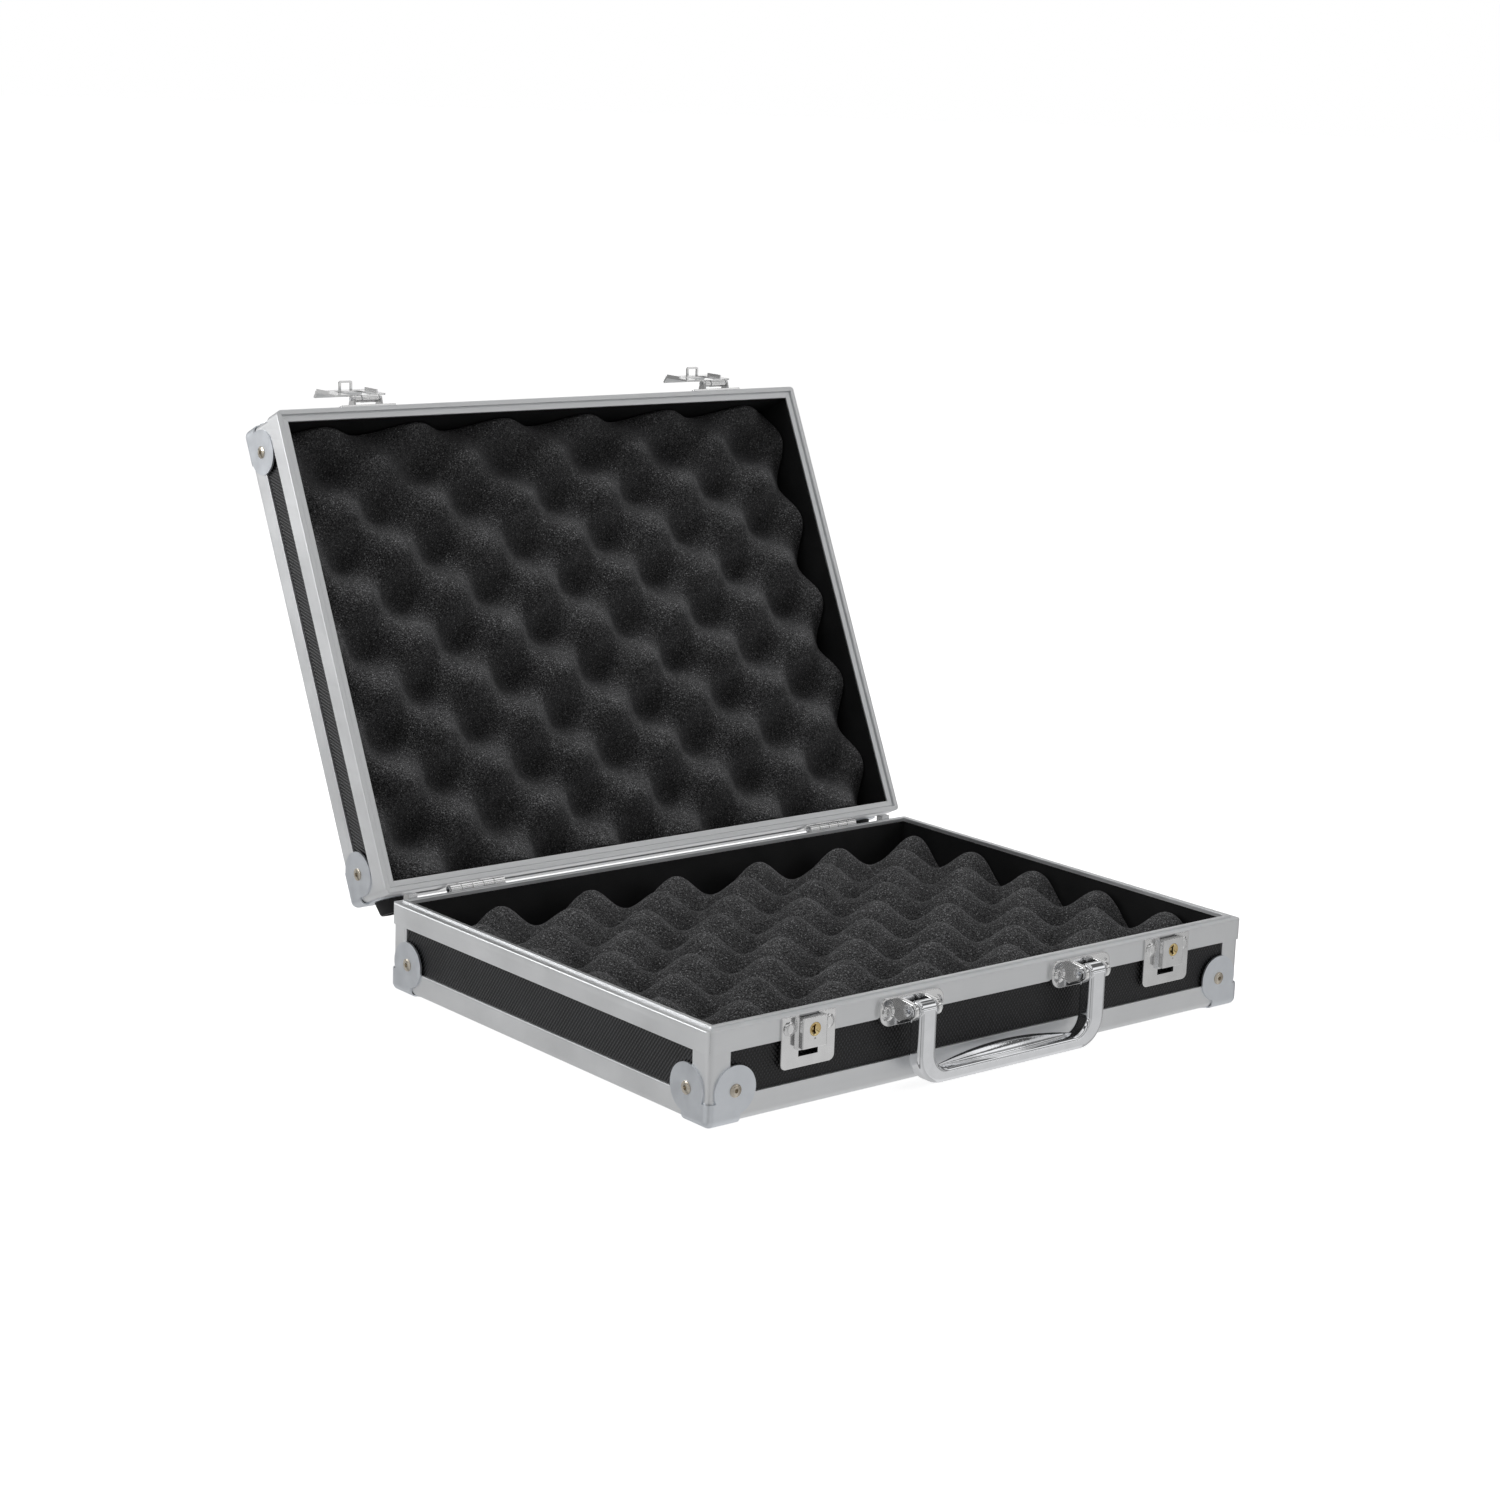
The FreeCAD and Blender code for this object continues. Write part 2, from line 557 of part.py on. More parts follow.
def bail():
    """The handle hanging down: a bow of flat bar with a swell on the part that the fingers hold."""
    outer, inner = handle_x + leg_w / 2, handle_x - leg_w / 2
    bar_top = handle_bottom + bar_h
    out_y, in_y = pivot.y - leg_t / 2, pivot.y + leg_t / 2
    outline = [(-outer, pivot.z, 0), (-outer, handle_bottom, bend_outer_r),
               (outer, handle_bottom, bend_outer_r), (outer, pivot.z, 0),
               (inner, pivot.z, 0), (inner, bar_top, bend_inner_r),
               (-inner, bar_top, bend_inner_r), (-inner, pivot.z, 0)]
    bow = plate_xz(outline, out_y, in_y)
    bow = fillet_where(bow, 2.2, lambda e, m: abs(m.y - out_y) < 0.01 and m.z < pivot.z - 0.1)
    bow = fillet_where(bow, 2.6, lambda e, m: abs(m.y - in_y) < 0.01 and m.z < pivot.z - 0.1)
    axis = V(0, pivot.y + 1.2, bar_top)
    end_l, end_r = V(-swell_half, axis.y, axis.z), V(swell_half, axis.y, axis.z)
    up = V(0, 0, 1)
    arc = Part.Arc(end_l + up * swell_end_r, axis + up * swell_r, end_r + up * swell_end_r).toShape()
    corners = [end_r + up * swell_end_r, end_r, end_l, end_l + up * swell_end_r]
    lines = [Part.LineSegment(a, b).toShape() for a, b in zip(corners, corners[1:])]
    swell = Part.Face(Part.Wire([arc] + lines)).revolve(axis, V(1, 0, 0), 360)
    eyes = []
    for x in (-handle_x, handle_x):
        eye = along_pivot(eye_r, x - eye_long / 2, x + eye_long / 2)
        eyes.append(eye.makeFillet(1.6, [e for e in eye.Edges if e.Curve.TypeId == "Part::GeomCircle"]))
    return fuse([bow, swell] + eyes).cut(along_pivot(pin_r + 0.08, -outer - 10, outer + 10))


bracket_rivet_z = (bracket_low + bracket_high) / 2
bracket = handle_bracket()
for side, x in (("left", -handle_x), ("right", handle_x)):
    nodes[f"handle_bracket_{side}"] = bracket.translated(V(x, 0, 0))
nodes["handle_pins"] = group([handle_pin().translated(V(x, 0, 0)) for x in (-handle_x, handle_x)])
seat = bracket_t - dish_depth
bracket_rivets = [dome_rivet(V(x, face - seat, bracket_rivet_z), V(0, -1, 0), seat + rim_wall - 0.1, 2.6, 1.1)
                  for x in (-bracket_rivet_x, bracket_rivet_x)]
nodes["handle_bracket_rivets"] = group([r.translated(V(x, 0, 0)) for r in bracket_rivets
                                        for x in (-handle_x, handle_x)])
tools = [rod(rivet_shank_r, V(x + s, face - 5, bracket_rivet_z), V(x + s, face + rim_wall, bracket_rivet_z))
         for x in (-handle_x, handle_x) for s in (-bracket_rivet_x, bracket_rivet_x)]
nodes["base_front_rim"] = nodes["base_front_rim"].cut(tools)
nodes["handle"] = bail()


# ---- locks on the base --------------------------------------------------------------------------------
lock_rivet_x, lock_rivet_z = 12.0, 41.2
lock_rivet_r, lock_rivet_h = 3.5, 1.2
pin_circle = 3.1         # the plug's drive pin runs on this radius and moves the bolt
drive_pin_r = 0.7
bolt_front, bolt_t = 0.4, 1.0    # bolt behind the plate's back face
bolt_tip = slot_top + 1.6
pocket = (-7.0, 7.0, face - 0.01, face + 3.4, slot_bottom - 0.4, plug_z + 5.4)


def lock_plate():
    half = lock_plate_w / 2
    outline = [(-half, lock_plate_top, 0.4), (-half, lock_plate_bottom, 3.2), (half, lock_plate_bottom, 3.2),
               (half, lock_plate_top, 0.4)]
    plate = plate_xz(outline, face - lock_plate_t, face)
    plate = fillet_where(plate, 0.35, lambda e, m: abs(m.y - (face - lock_plate_t)) < 0.01)
    holes = [box(-slot_w / 2, slot_w / 2, face - 3, face + 1, slot_bottom, slot_top),
             box(-6.0, 6.0, face - 3, face + 1, lock_plate_top - 1.5, lock_plate_top + 1),
             rod(plug_r + 0.8, V(0, face - 3, plug_z), V(0, face + 1, plug_z))]
    holes += [rod(rivet_shank_r, V(x, face - 3, lock_rivet_z), V(x, face + 1, lock_rivet_z))
              for x in (-lock_rivet_x, lock_rivet_x)]
    return plate.cut(holes)


def lock_case():
    """The box that stands on the plate: a front shell, a shadow line and a flared foot."""
    back, front = face - lock_plate_t, face - lock_case_out
    half = lock_case_w / 2
    split = back - 1.8
    line = 0.4
    front_shell = box(-half, half, front, split - line, lock_case_bottom, lock_case_top)
    front_shell = fillet_where(front_shell, 0.5, lambda e, m: abs(m.y - front) < 0.01 or
                               (m.z < lock_case_bottom + 0.01 and abs(e.tangentAt(0).y) > 0.9))
    neck = box(-half + 0.6, half - 0.6, split - line, split, lock_case_bottom + 0.6, lock_case_top - 0.6)
    foot_corners = [(-half - case_flare, back), (-half, split), (half, split), (half + case_flare, back)]
    foot = rounded_face([(V(x, y, lock_case_bottom - 0.6), 0) for x, y in foot_corners])
    foot = foot.extrude(V(0, 0, lock_case_top - lock_case_bottom + 0.6))
    case = fuse([front_shell, neck, foot])
    wall = 1.2
    x0, x1 = -half + wall, half - wall
    hollow = box(x0, x1, front + wall, back + 1, lock_case_bottom + wall, plug_z - plug_r - 1)
    mouth = box(x0, x1, split + 0.6, back + 1, plug_z + plug_r + 0.8, lock_case_top + 1)
    plug_hole = rod(plug_r + 0.05, V(0, front - 1, plug_z), V(0, back + 1, plug_z))
    index_mark = rod(0.55, V(0, front - 1, plug_z - plug_r - 1.1), V(0, front + 0.5, plug_z - plug_r - 1.1))
    return case.cut([hollow, mouth, plug_hole, index_mark])


def key_plug():
    """Brass plug with a keyway, and the drive pin on its inner end, up and to the right at rest."""
    front, back = face - lock_case_out - 0.25, face + 0.05
    plug = rod(plug_r, V(0, front, plug_z), V(0, back, plug_z))
    plug = fillet_where(plug, 0.3, lambda e, m: m.y < front + 0.01)
    dish = Part.makeCone(plug_r - 0.6, 1.2, 1.0, V(0, front, plug_z), V(0, 1, 0))
    keyway = box(-0.6, 0.6, front - 1, front + 4.5, plug_z - 2.3, plug_z + 2.3)
    ward = box(-1.3, 0.1, front - 1, front + 4.5, plug_z - 1.4, plug_z - 0.4)
    plug = plug.cut([dish, fuse([keyway, ward])])
    px, pz = pin_circle * math.cos(math.pi / 4), plug_z + pin_circle * math.sin(math.pi / 4)
    drive = rod(drive_pin_r, V(px, back - 1.0, pz), V(px, face + bolt_front + bolt_t + 0.4, pz))
    return fuse([plug, drive])


def lock_bolt():
    """Flat bolt behind the plate; a cross slot takes the drive pin, and the nose passes the staple."""
    y0 = face + bolt_front
    pz = plug_z + pin_circle * math.sin(math.pi / 4)
    nose, half = 2.4, 5.6
    shoulder, top = bolt_tip + 5, pz + 2.6
    outline = [(-nose, bolt_tip, 0.6), (nose, bolt_tip, 0.6), (nose, shoulder, 0), (half, shoulder, 0.8),
               (half, top, 0.8), (-half, top, 0.8), (-half, shoulder, 0.8), (-nose, shoulder, 0)]
    bolt = plate_xz(outline, y0, y0 + bolt_t)
    slack = drive_pin_r + 0.35
    slot = box(1.0, 4.6, y0 - 1, y0 + 3, pz - slack, pz + slack)
    return bolt.cut(slot)


tools = []
for side, x in (("left", -hardware_x), ("right", hardware_x)):
    nodes[f"lock_plate_{side}"] = lock_plate().translated(V(x, 0, 0))
    nodes[f"lock_case_{side}"] = lock_case().translated(V(x, 0, 0))
    nodes[f"key_plug_{side}"] = key_plug().translated(V(x, 0, 0))
    nodes[f"lock_bolt_{side}"] = lock_bolt().translated(V(x, 0, 0))
    tools.append(box(*pocket).translated(V(x, 0, 0)))
lock_rivets = [dome_rivet(V(x, face - lock_plate_t, lock_rivet_z), V(0, -1, 0), lock_plate_t + rim_wall - 0.1,
                          lock_rivet_r, lock_rivet_h, False) for x in (-lock_rivet_x, lock_rivet_x)]
nodes["lock_rivets"] = group([s for r in lock_rivets for s in both_sides(r, hardware_x)])
shanks = [rod(rivet_shank_r, V(x + s, face - 1, lock_rivet_z), V(x + s, face + rim_wall, lock_rivet_z))
          for x in (-hardware_x, hardware_x) for s in (-lock_rivet_x, lock_rivet_x)]
nodes["base_front_rim"] = nodes["base_front_rim"].cut(tools + shanks)
nodes["base_front_panel"] = nodes["base_front_panel"].cut(tools)


# ---- hasps on the lid, built shut ---------------------------------------------------------------------
hasp_pin_y = face - hasp_pivot_out
lid_face_low = base_height + parting_gap
hasp_plate_w, hasp_plate_high = 35.0, 12.0
hasp_ear_in, hasp_ear_out = 7.9, 9.3
spring_long = 4.2
hasp_neck_half = 7.3
hasp_rivet_x = 13.4
staple_z = (slot_bottom + slot_top) / 2 + 0.75


def along_hasp_pin(r, x0, x1):
    return rod(r, V(x0, hasp_pin_y, hasp_pivot_z), V(x1, hasp_pin_y, hasp_pivot_z))


def hasp_plate():
    low, high = lid_face_low + 0.5, lid_face_low + 0.5 + hasp_plate_high
    half = hasp_plate_w / 2
    plate = plate_xz([(-half, low, 0.6), (half, low, 0.6), (half, high, 3.0), (-half, high, 3.0)],
                     face - 1.0, face)
    plate = fillet_where(plate, 0.3, lambda e, m: abs(m.y - (face - 1.0)) < 0.01)
    parts = [plate]
    for sign in (-1, 1):
        x0, x1 = sorted((sign * hasp_ear_in, sign * hasp_ear_out))
        tip = along_hasp_pin(barrel_r, x0, x1)
        root = face - 0.5
        neck = plate_yz([(root, hasp_pivot_z - 1.4, 0), (hasp_pin_y, hasp_pivot_z - barrel_r, 0),
                         (hasp_pin_y, hasp_pivot_z + barrel_r, 0), (root, hasp_pivot_z + 6.0, 0)], x0, x1)
        parts += [tip, neck]
    holes = [rod(rivet_shank_r, V(x, face - 3, low + 6.6), V(x, face + 1, low + 6.6))
             for x in (-hasp_rivet_x, hasp_rivet_x)]
    return fuse(parts).cut(holes + [along_hasp_pin(hasp_pin_r, -hasp_ear_out - 1, hasp_ear_out + 1)])


def hasp():
    """Flap with a window for the lock case, a staple on its inner face and a turned-out lip."""
    inner, outer = face - hasp_inner, face - hasp_inner - hasp_t
    half = hasp_w / 2
    top, bottom = lid_face_low - 0.7, lock_plate_bottom + 1.6
    neck_half = hasp_neck_half
    outline = [(-half, top - 1.4, 1.5), (-half, bottom, 1.0), (half, bottom, 1.0), (half, top - 1.4, 1.5),
               (neck_half + 1.4, top - 0.6, 0.8), (neck_half, top + 0.2, 0), (neck_half, top + 2.8, 0),
               (-neck_half, top + 2.8, 0), (-neck_half, top + 0.2, 0), (-neck_half - 1.4, top - 0.6, 0.8)]
    flap = plate_xz(outline, outer, inner)
    side_low, side_high = bottom + 2.0, lock_rivet_z - lock_rivet_r - 0.7
    flanges = [plate_xz([(s * half, side_low, 0), (s * (half - hasp_t), side_low, 0),
                         (s * (half - hasp_t), side_high, 0), (s * half, side_high, 0)],
                        inner, face - lock_plate_t - 0.5) for s in (-1, 1)]
    lip_out, lip_drop = 3.4, 2.6
    lip_y, lip_z, lip_t = outer - lip_out, bottom - lip_drop, 0.7
    lip = plate_yz([(inner, bottom + 1.0, 0), (inner, bottom, 1.4), (lip_y + lip_t, lip_z, 0),
                    (lip_y, lip_z + lip_t, 0), (outer, bottom + 1.0, 0.6),
                    (outer, bottom + 2.0, 0), (inner, bottom + 2.0, 0)], -half + 1.0, half - 1.0)
    barrel_x0 = -neck_half + spring_long
    barrel = along_hasp_pin(barrel_r, barrel_x0, neck_half)
    web = box(barrel_x0, neck_half, outer, inner, top + 1.0, hasp_pivot_z)
    staple_w, wire, reach = 8.4, 1.2, 5.6
    sz0, sz1 = staple_z - wire / 2, staple_z + wire / 2
    staple = plate_xy_loop(staple_w, wire, inner - 0.5, inner + reach, sz0, sz1)
    whole = fuse([flap, barrel, web, lip, staple] + flanges)
    window = box(-8.1, 8.1, outer - 1, inner + 1, lock_case_bottom - 1.4, lid_face_low - 0.3)
    room_low, room_high = lid_face_low + 0.2, hasp_pivot_z + 3
    spring_room = box(-neck_half - 1, barrel_x0 - 0.3, outer - 1, inner + 1, room_low, room_high)
    bore = along_hasp_pin(hasp_pin_r + 0.07, -half, half)
    return whole.cut([window, spring_room, bore])


def plate_xy_loop(loop_w, wire, y0, y1, z0, z1):
    """A flat rectangular loop standing out from y0 to y1, with rounded outer corners."""
    half = loop_w / 2
    ring_face = rounded_face([(V(-half, y0, z0), 0), (V(half, y0, z0), 0), (V(half, y1, z0), 1.2),
                              (V(-half, y1, z0), 1.2)])
    loop = ring_face.extrude(V(0, 0, z1 - z0))
    return loop.cut(box(-half + wire, half - wire, y0 + 0.5, y1 - wire, z0 - 1, z1 + 1))


def hasp_spring():
    """Outer form of the torsion spring round the pin."""
    start = -hasp_neck_half
    coil = along_hasp_pin(barrel_r - 0.2, start, start + spring_long - 0.6)
    return coil.cut(along_hasp_pin(hasp_pin_r, start - 1, start + spring_long))


def hasp_pin():
    end = hasp_ear_out + 0.7
    return along_hasp_pin(hasp_pin_r, -end, end)


def swung_back(shape):
    turned = shape.copy()
    turned.rotate(V(0, hasp_pin_y, hasp_pivot_z), V(1, 0, 0), -hasp_swing)
    return turned


for side, x in (("left", -hardware_x), ("right", hardware_x)):
    nodes[f"hasp_plate_{side}"] = hasp_plate().translated(V(x, 0, 0))
    nodes[f"hasp_{side}"] = swung_back(hasp()).translated(V(x, 0, 0))
    lid_nodes.append(f"hasp_plate_{side}")
    hasp_nodes.append(f"hasp_{side}")
nodes["hasp_springs"] = group([hasp_spring().translated(V(x, 0, 0)) for x in (-hardware_x, hardware_x)])
nodes["hasp_pins"] = group([hasp_pin().translated(V(x, 0, 0)) for x in (-hardware_x, hardware_x)])
hasp_rivet_z = lid_face_low + 7.1
rivets = [dome_rivet(V(x, face - 1.0, hasp_rivet_z), V(0, -1, 0), 1.0 + rim_wall - 0.1, 2.6, 0.9, False)
          for x in (-hasp_rivet_x, hasp_rivet_x)]
nodes["hasp_rivets"] = group([s for r in rivets for s in both_sides(r, hardware_x)])
shanks = [rod(rivet_shank_r, V(x + s, face - 1, hasp_rivet_z), V(x + s, face + rim_wall, hasp_rivet_z))
          for x in (-hardware_x, hardware_x) for s in (-hasp_rivet_x, hasp_rivet_x)]
nodes["lid_front_rim"] = nodes["lid_front_rim"].cut(shanks)
lid_nodes += ["hasp_springs", "hasp_pins", "hasp_rivets"]


# ---- open the lid and write the files -----------------------------------------------------------------
def in_place(node, shape):
    moved = shape.copy()
    if node in lid_nodes or node in hasp_nodes:
        moved.rotate(V(0, hinge_y, hinge_z), V(1, 0, 0), -lid_open)
    moved.translate(V(0, -origin_y, 0))
    return moved


os.makedirs("parts", exist_ok=True)
overall = FreeCAD.BoundBox()
for node, shape in nodes.items():
    final = in_place(node, shape)
    if not final.isValid():
        print("not valid:", node)
    overall.add(final.BoundBox)
    final.exportStep(f"parts/{node}.step")
print(len(nodes), "nodes; box", [round(v, 1) for v in (overall.XMin, overall.XMax, overall.YMin, overall.YMax,
                                                      overall.ZMin, overall.ZMax)])
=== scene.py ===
import json
import math

import bpy
from mathutils import Matrix, Vector, noise


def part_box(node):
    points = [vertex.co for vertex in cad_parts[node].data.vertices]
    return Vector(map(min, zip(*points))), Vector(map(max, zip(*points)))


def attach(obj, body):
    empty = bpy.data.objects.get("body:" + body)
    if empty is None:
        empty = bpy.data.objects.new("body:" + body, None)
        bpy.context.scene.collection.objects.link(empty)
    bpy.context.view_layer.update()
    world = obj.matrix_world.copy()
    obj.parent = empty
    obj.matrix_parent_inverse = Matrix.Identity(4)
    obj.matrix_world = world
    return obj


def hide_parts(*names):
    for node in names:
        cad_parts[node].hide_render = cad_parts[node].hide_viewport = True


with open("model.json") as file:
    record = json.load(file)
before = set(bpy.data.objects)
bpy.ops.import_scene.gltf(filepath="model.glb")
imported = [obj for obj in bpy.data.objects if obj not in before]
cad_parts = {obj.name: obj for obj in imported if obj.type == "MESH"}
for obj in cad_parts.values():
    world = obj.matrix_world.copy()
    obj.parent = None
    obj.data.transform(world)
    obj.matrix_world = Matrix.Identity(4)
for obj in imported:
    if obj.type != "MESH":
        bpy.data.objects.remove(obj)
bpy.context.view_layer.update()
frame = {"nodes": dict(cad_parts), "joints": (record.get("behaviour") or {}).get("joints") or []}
nodes = frame["nodes"]

MM = 0.001

# ---- the case's own sizes, from the frame -------------------------------------------------------------
lid_joint = next(j for j in frame["joints"] if j["child"] == "lid")
HINGE = Vector(lid_joint["pos_m"])
LID_OPEN = math.radians(max(lid_joint["range_deg"]))
BASE_MIDDLE_Y = sum(corner.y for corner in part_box("base_bottom_panel")) / 2

# turns a point of the open lid to where it is when the case is shut, and back
SHUT = Matrix.Translation(HINGE) @ Matrix.Rotation(LID_OPEN, 4, "X") @ Matrix.Translation(-HINGE)
OPEN = SHUT.inverted()

# ---- foam ---------------------------------------------------------------------------------------------
FOAM_PITCH_X, FOAM_PITCH_Y = 58.8 * MM, 50.5 * MM
BASE_PEAK = (-10.5 * MM, 9.5 * MM)       # one peak of each block, from the middle of its tray
LID_PEAK = (2.0 * MM, -3.0 * MM)
BASE_VALLEY, LID_VALLEY = 23 * MM, 20 * MM
BASE_BACK_FADE = 18 * MM                 # the waves die away over this length behind the last row of peaks
CREST_POWER = 0.85                       # below 1 makes the valleys narrower than the peaks
GRID = 1.4 * MM
EDGE_ROUND = 2.2 * MM
WANDER, WANDER_SCALE = 1.6 * MM, 25      # how far and how quickly the rows stray from straight lines
UNEVEN, UNEVEN_SCALE = 1.5 * MM, 14      # how far and how quickly the surface sinks here and there
SHARP_FROM = math.radians(50)            # foam edges at least this steep stay sharp


# ---- studio -------------------------------------------------------------------------------------------
FLOOR_GLOW = 0.8
# how bright the room looks in reflections, from straight down (0) over eye level (0.5) to straight up (1)
ROOM_LEVELS = (
    (0.0, 0.55), (0.30, 0.50), (0.36, 0.42), (0.42, 0.42), (0.44, 0.62), (0.475, 0.62),
    (0.485, 0.05), (0.515, 0.05), (0.525, 0.80), (0.565, 0.80), (0.58, 0.22), (0.69, 0.22),
    (0.71, 0.74), (0.80, 0.66), (0.825, 0.08), (0.87, 0.08), (0.89, 0.7), (1.0, 0.6),
)
# and what that is multiplied by, from the far left (0) to the far right (1)
ROOM_SIDES = (
    (0.0, 1.15), (0.135, 1.15), (0.15, 0.38), (0.225, 0.38), (0.24, 1.15), (0.50, 1.0),
    (0.74, 0.95), (0.76, 1.38), (0.85, 1.38), (0.87, 0.80), (1.0, 0.80),
)
AMBIENT = 0.32                           # what the room adds to matte surfaces
# name, place, aim, size in metres, watts, whether metal mirrors it
SOFTBOXES = (
    ("overhead", (0.0, 0.3, 1.5), (0, 0, 0.05), (0.8, 0.6), 15, False),
    ("back_left", (-1.3, 0.9, 0.55), (0, 0, 0.1), (0.7, 0.5), 6, True),
    ("front_right", (1.2, -1.3, 0.6), (0, 0, 0.1), (0.7, 0.5), 7, False),
)

# the camera: turned from straight ahead, raised, and tilted, in degrees; place from the base's middle
CAMERA_AZIMUTH, CAMERA_ELEVATION, CAMERA_ROLL = -39.75, 12.38, -1.99
CAMERA_PLACE = (-1006.2 * MM, -1147.7 * MM, 466.6 * MM)
CAMERA_LENS, CAMERA_SENSOR = 72.3, 36.0


# ---- node-tree helpers --------------------------------------------------------------------------------
def add_node(tree, kind, inputs=None, **settings):
    """A shader node whose inputs are linked to sockets or set to values."""
    node = tree.nodes.new("ShaderNode" + kind)
    for key, value in settings.items():
        setattr(node, key, value)
    for socket, value in (inputs or {}).items():
        if isinstance(value, bpy.types.NodeSocket):
            tree.links.new(value, node.inputs[socket])
        else:
            node.inputs[socket].default_value = value
    return node


class Material:
    """A Principled material whose nodes are added by short calls."""

    def __init__(self, name, **principled):
        self.material = bpy.data.materials.new(name)
        self.material.use_nodes = True
        self.tree = self.material.node_tree
        self.shader = self.tree.nodes["Principled BSDF"]
        for socket, value in principled.items():
            self.shader.inputs[socket.replace("_", " ")].default_value = value

    def add(self, kind, inputs=None, **settings):
        return add_node(self.tree, kind, inputs, **settings)

    def math(self, operation, *values):
        node = self.add("Math", dict(enumerate(values)), operation=operation)
        return node.outputs[0]

    def place(self, rotation=(0, 0, 0), scale=(1, 1, 1)):
        """Object coordinates, turned and scaled."""
        coordinates = self.add("TexCoord").outputs["Object"]
        return self.add("Mapping", {"Vector": coordinates, "Rotation": rotation, "Scale": scale}).outputs[0]

    def noise(self, where, scale, detail=3.0, roughness=0.5):
        return self.add("TexNoise", {"Vector": where, "Scale": scale, "Detail": detail,
                                     "Roughness": roughness}).outputs["Fac"]

    def spread(self, value, low, high, start=0.3, end=0.7):
        """Maps a value running from start to end onto low to high."""
        return self.add("MapRange", {"Value": value, "From Min": start, "From Max": end,
                                     "To Min": low, "To Max": high}).outputs[0]

    def tint(self, value, dark, light):
        ramp = self.add("ValToRGB", {"Fac": value})
        ramp.color_ramp.elements[0].position, ramp.color_ramp.elements[1].position = 0.3, 0.7
        ramp.color_ramp.elements[0].color = (*dark, 1)
        ramp.color_ramp.elements[1].color = (*light, 1)
        self.set("Base Color", ramp.outputs[0])
        return ramp.outputs[0]

    def set(self, socket, value):
        self.tree.links.new(value, self.shader.inputs[socket])

    def bump(self, height, distance, strength=1.0, under=None):
        inputs = {"Height": height, "Distance": distance, "Strength": strength}
        if under is not None:
            inputs["Normal"] = under
        normal = self.add("Bump", inputs).outputs[0]
        self.set("Normal", normal)
        return normal


# ---- materials ----------------------------------------------------------------------------------------
def extruded_aluminium(name, turn, along):
    """Satin aluminium with fine die lines along one axis of the turned frame."""
    m = Material(name, Metallic=1.0, Roughness=0.4)
    scale = [700, 700, 700]
    scale["XYZ".index(along)] = 5
    lines = m.noise(m.place(turn, scale), 1.0, 4.0, 0.6)
    blotches = m.noise(m.place(turn), 28.0, 4.0, 0.55)
    m.tint(blotches, (0.84, 0.85, 0.86), (0.90, 0.91, 0.92))
    wear = m.math("ADD", m.spread(lines, -0.04, 0.05), m.spread(blotches, 0.42, 0.50))
    m.set("Roughness", wear)
    grain = m.noise(m.place(), 2600.0, 2.0)
    soft = m.bump(grain, 0.00003, 0.5)
    m.bump(lines, 0.00005, 0.6, soft)
    return m.material


def zinc_cap():
    """Zinc-plated pressed steel: bluish, faintly cloudy, with fine handling scratches."""
    m = Material("zinc_cap", Metallic=1.0, Roughness=0.4)
    clouds = m.noise(m.place(), 120.0, 4.0, 0.55)
    m.tint(clouds, (0.78, 0.81, 0.85), (0.84, 0.87, 0.91))
    scratches = m.noise(m.place((0.4, 0.7, 0.5), (90, 2200, 90)), 1.0, 3.0)
    m.set("Roughness", m.math("ADD", m.spread(clouds, 0.36, 0.44), m.spread(scratches, -0.03, 0.04)))
    m.bump(scratches, 0.00002, 0.4)
    return m.material


def plated(name, dark, light, rough_low, rough_high, ripple):
    """Bright plated metal with faint ripples from casting or pressing."""
    m = Material(name, Metallic=1.0, Roughness=rough_low)
    clouds = m.noise(m.place(), 150.0, 3.0)
    m.tint(clouds, dark, light)
    m.set("Roughness", m.spread(clouds, rough_low, rough_high))
    m.bump(m.noise(m.place(), 120.0, 1.0), ripple, 0.15)
    return m.material


def ribbed_laminate(name, turn, across, up, second):
    """Black laminate pressed with a fine slanting lattice.

    across and up are the axes of the turned frame that lie in the panel; second is how strong the second
    set of ribs is beside the first.
    """
    m = Material(name, Roughness=0.42, Specular_IOR_Level=0.5)
    split = m.add("SeparateXYZ", {0: m.place(turn)}).outputs
    pitch = 1.7 * MM
    rib_angle = math.radians(37)

    def ridges(angle, strength):
        phase = m.math("ADD", m.math("MULTIPLY", split[across], math.cos(angle) * 2 * math.pi / pitch),
                       m.math("MULTIPLY", split[up], math.sin(angle) * 2 * math.pi / pitch))
        return m.spread(m.math("SINE", phase), 1.0 - strength, 1.0, -1.0, 1.0)

    height = m.math("MULTIPLY", ridges(rib_angle, 1.0), ridges(-rib_angle, second))
    haze = m.noise(m.place(), 60.0, 4.0)
    # the rib crests are painted lighter than their hollows, a painted highlight on the ribs; the haze adds
    # random tone
    m.tint(m.math("ADD", m.math("MULTIPLY", height, 0.42), m.math("MULTIPLY", haze, 0.30)),
           (0.001, 0.001, 0.0012), (0.058, 0.060, 0.070))
    m.set("Roughness", m.math("ADD", m.spread(haze, 0.34, 0.44), m.math("MULTIPLY", height, -0.06)))
    m.bump(height, 0.0003, 1.0)
    return m.material


def black_lining():
    m = Material("black_lining", Roughness=0.62, Specular_IOR_Level=0.3)
    grain = m.noise(m.place(), 1500.0, 3.0)
    m.tint(m.noise(m.place(), 45.0, 4.0), (0.006, 0.006, 0.0065), (0.013, 0.013, 0.0135))
    m.set("Roughness", m.spread(grain, 0.55, 0.75))
    m.bump(grain, 0.0001, 0.5)
    return m.material


